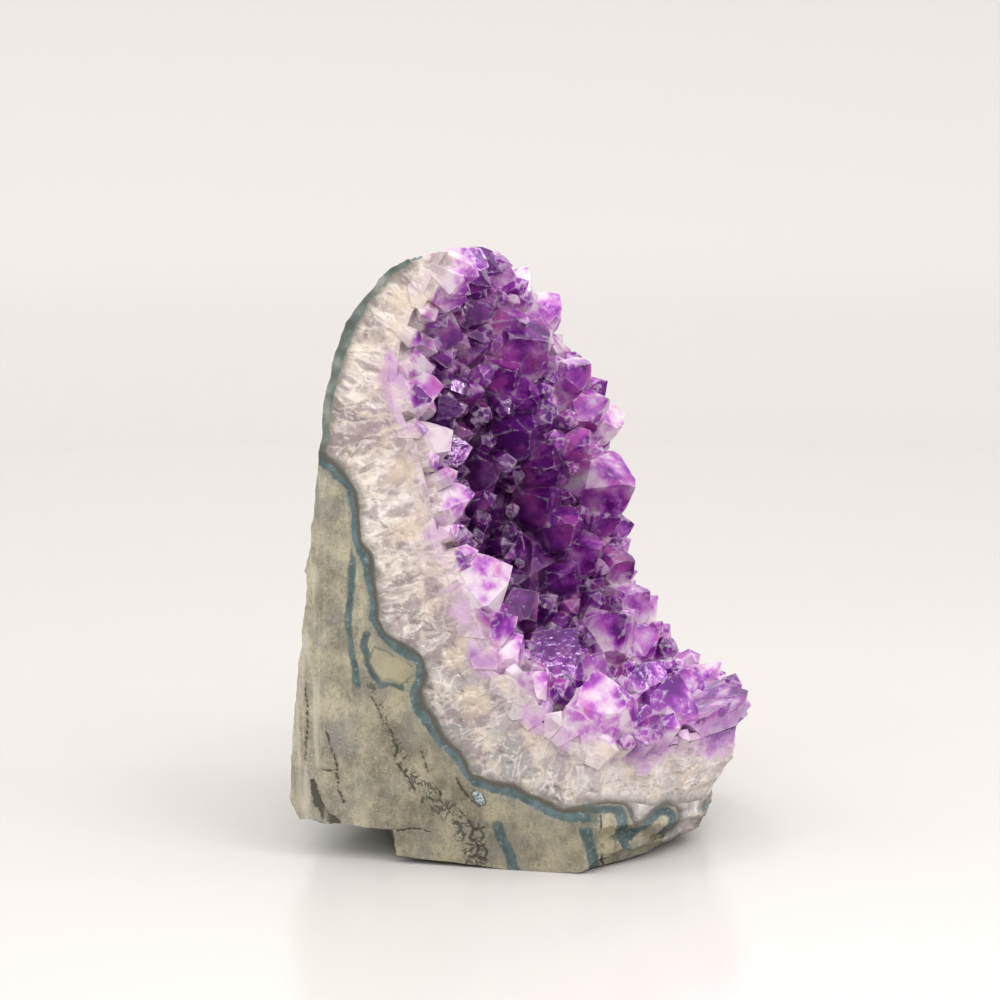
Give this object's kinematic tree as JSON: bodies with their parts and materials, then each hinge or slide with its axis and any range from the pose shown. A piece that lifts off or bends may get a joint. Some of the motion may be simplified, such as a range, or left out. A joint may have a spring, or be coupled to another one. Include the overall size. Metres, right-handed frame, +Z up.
{
  "type": "amethyst cluster",
  "caption": "Cut-base piece of an amethyst geode that stands on its sawn foot, with a hollow of purple crystals, a quartz layer, a teal band and grey rock.",
  "frame": {"origin": "centre of the base of the whole cluster's box, at the level of the sawn foot", "axes": "+Z up along the cluster's height, -Y out of the crystal hollow, the broad sawn face with the layers on the left"},
  "size_m": [0.101, 0.1012, 0.13],
  "materials": {
    "basalt": "sawn and ground on the cut faces, rough on the natural back",
    "celadonite_agate": "ground smooth where cut, waxy where it is the outer skin",
    "white_quartz": "polished, translucent, with grown columns",
    "amethyst": "glassy natural crystal faces"
  },
  "bodies": {
    "root": {"basalt_matrix": "basalt", "agate_lining": "celadonite_agate", "quartz_layer": "white_quartz", "amethyst_crystals": "amethyst"}
  },
  "joints": []
}
